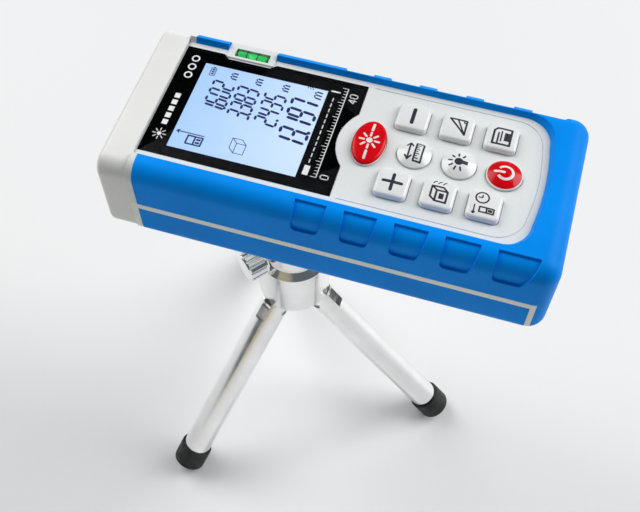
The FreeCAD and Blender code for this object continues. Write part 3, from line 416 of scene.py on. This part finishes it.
class Print:
    """Flat marks drawn in millimetres, u to the glyph's right and v up, as small facets."""

    STEP = 0.45

    def __init__(self, weight=1.0, scale=1.0):
        """weight thickens every stroke and scale enlarges the whole drawing."""
        self.weight = weight
        self.scale = scale
        self.points = []
        self.faces = []

    def quad(self, corners):
        start = len(self.points)
        self.points += [corner * self.scale for corner in corners]
        self.faces.append(tuple(range(start, start + len(corners))))

    def grid(self, corner, along, across):
        """A parallelogram cut into small cells."""
        corner, along, across = Vector(corner), Vector(along), Vector(across)
        columns = max(1, math.ceil(along.length / self.STEP))
        rows = max(1, math.ceil(across.length / self.STEP))
        for i in range(columns):
            for j in range(rows):
                a0, a1 = along * (i / columns), along * ((i + 1) / columns)
                b0, b1 = across * (j / rows), across * ((j + 1) / rows)
                self.quad([corner + a0 + b0, corner + a1 + b0, corner + a1 + b1, corner + a0 + b1])

    def line(self, *points, width=0.34, closed=False):
        """Stroke with round ends and corners."""
        width *= self.weight
        ends = [Vector(p) for p in points]
        if closed:
            ends.append(ends[0])
        for a, b in zip(ends, ends[1:]):
            side = Vector((a.y - b.y, b.x - a.x)).normalized() * width
            self.grid(a - side / 2, b - a, side)
        for p in ends:
            self.disc(p.x, p.y, width / 2)
        return self

    def disc(self, u, v, radius, sides=14):
        rings = max(1, math.ceil(radius / self.STEP))
        for ring in range(rings):
            r0, r1 = radius * ring / rings, radius * (ring + 1) / rings
            for n in range(sides):
                a0, a1 = (2 * math.pi * (n + k) / sides for k in (0, 1))
                corners = [Vector((u + r * math.cos(a), v + r * math.sin(a)))
                           for r, a in ((r0, a0), (r1, a0), (r1, a1), (r0, a1))]
                self.quad(corners if ring else corners[1:])
        return self

    def ring(self, u, v, radius, width=0.34, start=0, end=360):
        """Circle or arc, anticlockwise from start to end degrees."""
        width *= self.weight
        count = max(8, math.ceil(math.radians(end - start) * radius / 0.3))
        for n in range(count):
            a0, a1 = (math.radians(start + (end - start) * (n + k) / count) for k in (0, 1))
            corners = [Vector((u + r * math.cos(a), v + r * math.sin(a)))
                       for r, a in ((radius - width / 2, a0), (radius + width / 2, a0),
                                    (radius + width / 2, a1), (radius - width / 2, a1))]
            self.quad(corners)
        return self

    def block(self, u0, v0, u1, v1):
        self.grid((u0, v0), (u1 - u0, 0), (0, v1 - v0))
        return self

    def frame(self, u0, v0, u1, v1, width=0.3):
        return self.line((u0, v0), (u1, v0), (u1, v1), (u0, v1), width=width, closed=True)

    def rays(self, u, v, inner, outer, count, width=0.3, start=0, end=360):
        for n in range(count):
            a = math.radians(start + (end - start) * n / count)
            way = Vector((math.cos(a), math.sin(a)))
            self.line(Vector((u, v)) + way * inner, Vector((u, v)) + way * outer, width=width)
        return self

    def lay(self, name, surface, origin, body, on=None, lift=0.012):
        """Makes the mesh at origin in the frame, dropped on to the CAD node `on` if one is given."""
        tree = None
        if on:
            mesh = NODES[on].data
            faces = [polygon.vertices for polygon in mesh.polygons]
            tree = BVHTree.FromPolygons([vertex.co for vertex in mesh.vertices], faces)
        placed = []
        for p in self.points:
            point = Vector((origin.x - p.y * MM, origin.y + p.x * MM, origin.z))
            if tree:
                hit = tree.ray_cast(point + Vector((0, 0, 20 * MM)), Vector((0, 0, -1)))[0]
                point.z = hit.z if hit else origin.z
            placed.append(point + Vector((0, 0, lift * MM)))
        piece = mesh_piece(name, placed, self.faces, surface)
        piece.data.update()
        for polygon in piece.data.polygons:
            if polygon.normal.z < 0:
                polygon.flip()
        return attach(piece, body)


# ---------------------------------------------------------------- key symbols

def symbol():
    return Print(1.25, 1.1)


def plus_mark():
    return symbol().line((-2.1, 0), (2.1, 0), width=0.62).line((0, -2.1), (0, 2.1), width=0.62)


def minus_mark():
    return symbol().line((-2.0, 0), (2.0, 0), width=0.72)


def triangle_mark():
    mark = symbol().line((-2.1, -1.9), (2.0, -1.9), (2.0, 2.1), width=0.36, closed=True)
    mark.line((-2.1, -1.9), (2.0, 0.3), width=0.3)
    return mark.line((1.3, -1.9), (1.3, -1.3), (2.0, -1.3), width=0.24)


def volume_mark():
    mark = symbol().frame(-2.2, -2.0, 0.7, 0.5, 0.38)
    mark.line((-2.2, 0.5), (-1.2, 1.7), (1.7, 1.7), (1.7, -0.9), (0.7, -2.0), width=0.36)
    mark.line((0.7, 0.5), (1.7, 1.7), width=0.34).block(-1.5, -1.3, 0.0, -0.2)
    for row in range(3):
        mark.line((2.5, 1.6 - row * 1.1), (3.1, 1.2 - row * 1.1), (3.1, 0.9 - row * 1.1), width=0.2)
    return mark


def storage_mark():
    outline = ((-2.3, -2.0), (2.3, -2.0), (2.3, 1.3), (1.5, 2.0), (-2.3, 2.0))
    mark = symbol().line(*outline, width=0.4, closed=True)
    mark.line((-2.3, 0.9), (0.9, 0.9), width=0.32).block(-1.2, -1.9, 1.2, -0.5)
    return mark.line((-1.4, 0.2), (1.4, 0.2), width=0.28)


def reference_mark():
    mark = symbol().ring(1.6, 0.8, 1.45, 0.3).line((1.6, 1.6), (1.6, 0.8), (2.3, 0.8), width=0.24)
    mark.frame(-2.2, -2.3, -0.9, -0.7, 0.3).frame(-2.2, -0.7, -0.9, 0.9, 0.3)
    mark.disc(-2.6, 2.1, 0.4).line((-2.6, 2.1), (-0.6, 2.1), width=0.24)
    return mark.block(-1.9, -2.0, -1.2, -1.0)


def ruler_mark():
    """Ruler with a double arrow, for changing the unit."""
    mark = symbol().frame(-2.5, -1.8, 2.5, -0.1, 0.34)
    for n in range(7):
        mark.line((-1.8 + 0.6 * n, -0.2), (-1.8 + 0.6 * n, -0.7 - 0.35 * (n % 2 == 0)), width=0.22)
    mark.line((-2.2, 1.3), (2.2, 1.3), width=0.34)
    for side in (-1, 1):
        mark.line((side * 1.4, 2.0), (side * 2.3, 1.3), (side * 1.4, 0.6), width=0.34)
    return mark


def lamp_mark():
    mark = symbol().disc(0, 0.2, 1.0, 20).block(-0.5, -1.9, 0.5, -0.6)
    return mark.rays(0, 0.2, 1.6, 2.3, 7, 0.34, -30, 240)


def beam_mark():
    """Starburst of a laser spot with a beam line."""
    mark = symbol().disc(0, 0, 0.75, 20).rays(0, 0, 1.3, 2.3, 8, 0.4)
    return mark.line((-5.0, 0), (-3.1, 0), width=0.5).line((3.1, 0), (5.0, 0), width=0.5)


def power_mark():
    return symbol().ring(0, -0.1, 1.75, 0.5, 125, 415).line((0, 0.2), (0, 2.3), width=0.5)


SYMBOLS = {
    "plus_key": plus_mark,
    "minus_key": minus_mark,
    "triangle_key": triangle_mark,
    "volume_key": volume_mark,
    "storage_key": storage_mark,
    "reference_key": reference_mark,
    "unit_key": ruler_mark,
    "light_key": lamp_mark,
    "measure_key": beam_mark,
    "clear_key": power_mark,
}


def key_symbols():
    dark = ink("key_ink", INK)
    light = ink("key_ink_white", (0.82, 0.82, 0.82), 0.35)
    for name, draw in SYMBOLS.items():
        low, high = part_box(name)
        centre = (low + high) / 2
        centre.z = high.z
        surface = light if name in RED_KEYS else dark
        draw().lay(name + "_symbol", surface, centre, name + "_body", on=name)


# ---------------------------------------------------------------- display

SEGMENTS = {
    "0": "abcdef", "1": "bc", "2": "abged", "3": "abgcd", "4": "fgbc",
    "5": "afgcd", "6": "afgedc", "7": "abc", "8": "abcdefg", "9": "abcdfg",
}
SLANT = 0.12
SEGMENT_GAP = 0.09
NUMBER_END = 9.0
UNIT_START = 11.3
# Width, height, pitch and stroke of the figures
SMALL_FIGURES = (1.75, 5.75, 2.75, 0.68)
LARGE_FIGURES = (2.2, 7.3, 3.3, 0.86)
# Text, height on the display, figures and size of the unit sign
READINGS = (
    ("1.602", 7.2, SMALL_FIGURES, 1.9),
    ("3.383", 0.2, SMALL_FIGURES, 1.9),
    ("2.435", -7.3, SMALL_FIGURES, 1.9),
    ("13.197", -16.3, LARGE_FIGURES, 2.1),
)


def slanted(u, v):
    return Vector((u + SLANT * v, v))


def bar(mark, a, b, thick):
    """One display segment with pointed ends."""
    a, b = Vector(a), Vector(b)
    way = (b - a).normalized()
    side = Vector((-way.y, way.x)) * thick / 2
    a, b = a + way * SEGMENT_GAP, b - way * SEGMENT_GAP
    corners = [a, a + way * thick / 2 - side, b - way * thick / 2 - side, b,
               b - way * thick / 2 + side, a + way * thick / 2 + side]
    mark.quad([slanted(c.x, c.y) for c in corners])


def digit(mark, figure, u, v, wide, high, thick):
    middle = v + high / 2
    places = {
        "a": ((u, v + high), (u + wide, v + high)),
        "b": ((u + wide, middle), (u + wide, v + high)),
        "c": ((u + wide, v), (u + wide, middle)),
        "d": ((u, v), (u + wide, v)),
        "e": ((u, v), (u, middle)),
        "f": ((u, middle), (u, v + high)),
        "g": ((u, middle), (u + wide, middle)),
    }
    for segment in SEGMENTS[figure]:
        bar(mark, *places[segment], thick)


def reading(mark, text, right, v, wide, high, pitch, thick):
    """A number that ends at `right`; a point takes no width of its own."""
    u = right - wide
    for figure in reversed(text):
        if figure == ".":
            mark.disc(u + pitch - (pitch - wide) / 2 + SLANT * v, v, thick * 0.6)
            continue
        digit(mark, figure, u, v, wide, high, thick)
        u -= pitch


def metre_sign(mark, u, v, size):
    """Small three-legged unit sign made of short bars."""
    for n in range(3):
        bar(mark, (u + n * size / 2, v), (u + n * size / 2, v + size), 0.5)
    bar(mark, (u, v + size), (u + size / 2, v + size), 0.5)
    bar(mark, (u + size / 2, v + size), (u + size, v + size), 0.5)


def display_figures():
    """Three measured lengths and their product, with the small signs round them."""
    low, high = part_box("lcd_panel")
    origin = Vector(((low.x + high.x) / 2, 0, high.z))
    mark = Print()
    for text, v, figures, unit in READINGS:
        reading(mark, text, NUMBER_END - SLANT * v, v, *figures)
        metre_sign(mark, UNIT_START - SLANT * v, v, unit)
    digit(mark, "3", 13.8 + SLANT * 12.9, -13.2, 0.8, 1.5, 0.22)
    mark.frame(11.0, 13.7, 13.6, 15.1, 0.2).block(13.8, 14.1, 14.1, 14.7)
    for n in range(3):
        mark.block(11.35 + 0.72 * n, 14.0, 11.85 + 0.72 * n, 14.8)
    device_sign(mark, -12.5, 9.0)
    cube_sign(mark, -12.0, -2.3)
    return mark.lay("lcd_figures", ink("lcd_dark_blue", SEGMENT_BLUE, 0.4), origin, "meter")


def device_sign(mark, u, v):
    """The meter seen from above with its measured length beside it."""
    mark.frame(u, v, u + 2.6, v + 4.0, 0.45).line((u, v + 2.0), (u + 2.6, v + 2.0), width=0.45)
    mark.block(u + 0.5, v + 0.4, u + 1.1, v + 1.6).block(u + 1.5, v + 0.4, u + 2.1, v + 1.6)
    mark.line((u + 3.3, v), (u + 3.3, v + 7.4), width=0.32)
    mark.line((u + 2.8, v + 6.7), (u + 3.3, v + 7.4), (u + 3.8, v + 6.7), width=0.32)


def cube_sign(mark, u, v):
    """Outline of a cube: its front face and the edges that run back from it."""
    wide, high, back, thin = 3.2, 2.6, 1.4, 0.2
    mark.frame(u, v, u + wide, v + high, thin)
    rear = ((u, v + high), (u + back, v + high + back), (u + wide + back, v + high + back),
            (u + wide + back, v + back), (u + wide, v))
    mark.line(*rear, width=thin)
    mark.line((u + wide, v + high), (u + wide + back, v + high + back), width=thin)


STROKES = {
    "0": ((0, 0.3), (0, 1.7), (0.3, 2), (0.9, 2), (1.2, 1.7), (1.2, 0.3), (0.9, 0), (0.3, 0), (0, 0.3)),
    "4": ((0.9, 0), (0.9, 2), (0, 0.6), (1.25, 0.6)),
}


def scale_figures(mark, text, u, v):
    for n, figure in enumerate(text):
        mark.line(*[(u + 1.75 * n + a, v + b) for a, b in STROKES[figure]], width=0.3)


SCALE_START, SCALE_END = -14.0, 16.0
TICKS = 31
LONG_TICK, SHORT_TICK = 1.5, 0.9
SCALE_BELOW_WINDOW = 4.6
BEAM_ABOVE_SCALE = 3.0
SIGNS_ABOVE_WINDOW = 2.2


def lens_print():
    """White scale and plain signs printed round the display window."""
    window_low, window_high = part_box("lcd_panel")
    origin = Vector(((window_low.x + window_high.x) / 2, 0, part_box("display_lens")[1].z))
    edge = (window_high.x - origin.x) / MM
    mark = Print()
    base = -(edge + SCALE_BELOW_WINDOW)
    mark.line((SCALE_START, base), (SCALE_END, base), width=0.24)
    for n in range(TICKS):
        tick = SHORT_TICK if n % 5 else LONG_TICK
        mark.line((SCALE_START + n, base), (SCALE_START + n, base + tick), width=0.17)
    scale_figures(mark, "0", SCALE_START, base - 3.0)
    scale_figures(mark, "40", 11.6, base - 3.0)
    beam = base + BEAM_ABOVE_SCALE
    mark.block(SCALE_START, beam - 0.75, SCALE_START + 3.0, beam + 0.75)
    for n in range(12):
        mark.line((-10.0 + 1.9 * n, beam), (-9.0 + 1.9 * n, beam), width=0.32)
    mark.line((14.2, beam - 1.1), (14.2, beam + 1.1), width=0.5)
    top = edge + SIGNS_ABOVE_WINDOW
    mark.disc(-12.2, top, 0.6).rays(-12.2, top, 1.0, 1.75, 8, 0.3)
    for n in range(5):
        mark.block(-9.0 + 2.3 * n, top - 0.75, -7.4 + 2.3 * n, top + 0.75)
    for n in range(3):
        mark.ring(8.6 + 3.0 * n, top, 0.95, 0.42)
    return mark.lay("lens_print", ink("lens_ink_white", (0.83, 0.84, 0.85), 0.4), origin, "meter")


# ---------------------------------------------------------------- spirit level and optics

def arc_band(name, surface, centre, radius, width, body, start, end, thick=0.02, steps=48):
    """Part of a thin ring round an axis along X, from start to end degrees."""
    points = []
    for n in range(steps + 1):
        a = math.radians(start + (end - start) * n / steps)
        for r in (radius, radius + thick):
            for side in (-width / 2, width / 2):
                points.append(centre + Vector((side, r * math.cos(a), r * math.sin(a))) * MM)
    faces = []
    for n in range(steps):
        a, b = 4 * n, 4 * n + 4
        for first, second in ((0, 1), (1, 3), (3, 2), (2, 0)):
            faces.append((a + first, a + second, b + second, b + first))
    piece = mesh_piece(name, points, faces, surface)
    for polygon in piece.data.polygons:
        polygon.use_smooth = True
    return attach(piece, body)


def vial_lines():
    """Two dark marks round the vial, either side of the bubble."""
    low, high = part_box("vial")
    centre = (low + high) / 2
    radius = (high.z - low.z) / 2 / MM
    dark = ink("vial_ink", (0.01, 0.03, 0.02))
    for side, name in ((-1, "vial_line_front"), (1, "vial_line_back")):
        place = centre + Vector((side * 1.45 * MM, 0, 0))
        arc_band(name, dark, place, radius + 0.01, 0.3, "meter", 20, 160)


# ---------------------------------------------------------------- stage, light and camera

FLOOR_REACH = 2.4
FLOOR_STEPS = 8


def stage():
    """Pale floor, in squares."""
    row = FLOOR_STEPS + 1
    places = [FLOOR_REACH * (n / FLOOR_STEPS - 0.5) * 2 for n in range(row)]
    points = [Vector((x, y, 0)) for x in places for y in places]
    corners = [row * i + j for i in range(FLOOR_STEPS) for j in range(FLOOR_STEPS)]
    faces = [(a, a + row, a + row + 1, a + 1) for a in corners]
    floor = mesh_piece("floor", points, faces, floor_paper())


SKY = (0.78, 0.88, 1.0, 1.0)
SKY_LIGHT = 0.14
SKY_SEEN = 0.75
LAMP_TARGET = (0.0, 0.0, 0.1)
# Name, place, side, watts and colour
LAMPS = (
    ("key", (1.80, 1.20, 1.70), 2.0, 67.0, (1.0, 0.99, 0.98)),
    ("side", (-2.0, 0.84, 1.80), 2.0, 53.0, (1.0, 0.99, 0.975)),
    ("warm_bounce", (-0.1, -0.9, 0.3), 0.6, 0.35, (1.0, 0.80, 0.35)),
)


def area_light(name, place, size, power, colour):
    data = bpy.data.lights.new(name, "AREA")
    data.size = size
    data.energy = power
    data.color = colour
    lamp = bpy.data.objects.new(name, data)
    lamp.location = place
    lamp.rotation_euler = (Vector(LAMP_TARGET) - Vector(place)).to_track_quat("-Z", "Y").to_euler()
    bpy.context.scene.collection.objects.link(lamp)


def light():
    """Large lamps under a sky that looks pale but gives little light, so the metal keeps its contrast."""
    world = bpy.data.worlds.new("soft_room")
    world.use_nodes = True
    tree = world.node_tree
    sky = tree.nodes["Background"]
    sky.inputs["Color"].default_value = SKY
    strength = tree.nodes.new("ShaderNodeMapRange")
    strength.inputs["To Min"].default_value = SKY_LIGHT
    strength.inputs["To Max"].default_value = SKY_SEEN
    path = tree.nodes.new("ShaderNodeLightPath")
    tree.links.new(path.outputs["Is Camera Ray"], strength.inputs["Value"])
    tree.links.new(strength.outputs["Result"], sky.inputs["Strength"])
    bpy.context.scene.world = world
    for lamp in LAMPS:
        area_light(*lamp)
    bpy.context.scene.view_settings.view_transform = "Standard"


CAMERA_PLACE = (0.0376, -0.1511, 0.3419)
CAMERA_RIGHT = (0.957, 0.289, 0.002)
CAMERA_FORWARD = (-0.150, 0.504, -0.850)
FOCAL_LENGTH = 54.65
SENSOR_WIDTH = 36.0


def camera():
    data = bpy.data.cameras.new("camera")
    data.lens = FOCAL_LENGTH
    data.sensor_width = SENSOR_WIDTH
    data.clip_start = 0.02
    lens = bpy.data.objects.new("camera", data)
    right = Vector(CAMERA_RIGHT).normalized()
    forward = Vector(CAMERA_FORWARD).normalized()
    up = right.cross(forward).normalized()
    right = forward.cross(up)
    turn = Matrix((right, up, -forward)).transposed()
    lens.matrix_world = Matrix.Translation(CAMERA_PLACE) @ turn.to_4x4()
    bpy.context.scene.collection.objects.link(lens)
    bpy.context.scene.camera = lens


dress_meter()
dress_tripod()
key_symbols()
display_figures()
lens_print()
vial_lines()
stage()
light()
camera()

bpy.context.view_layer.update()
